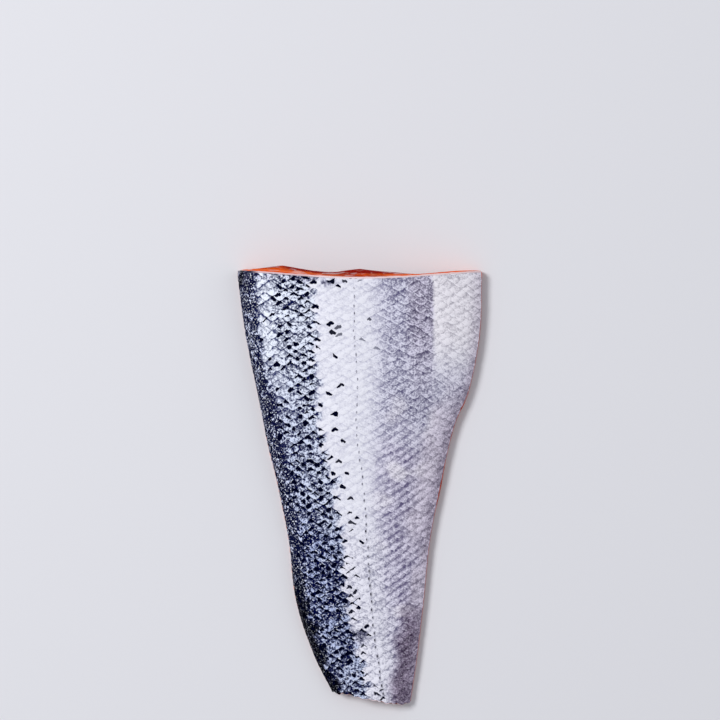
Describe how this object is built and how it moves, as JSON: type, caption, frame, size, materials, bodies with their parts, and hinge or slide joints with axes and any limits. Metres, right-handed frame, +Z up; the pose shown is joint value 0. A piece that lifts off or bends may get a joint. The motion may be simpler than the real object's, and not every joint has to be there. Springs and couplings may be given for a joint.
{
  "type": "raw salmon fillet",
  "caption": "Tail piece of a raw salmon fillet with its scaly skin on, lying skin side up on its flat flesh side, cut across at the thick end and at the tail.",
  "frame": {"origin": "centre of the piece's box, on the surface that its flesh side rests on", "axes": "+Y along the fish towards the head and the thick cut, +X towards the belly edge, +Z up, out of the skin"},
  "size_m": [0.147, 0.262, 0.0309],
  "materials": {
    "flesh": "moist, slightly translucent, with pale fat lines",
    "skin": "wet, dark along the back and white below",
    "scales": "wet, silvery, with dark spots on the back"
  },
  "bodies": {
    "root": {"fillet": "flesh"}
  },
  "joints": []
}
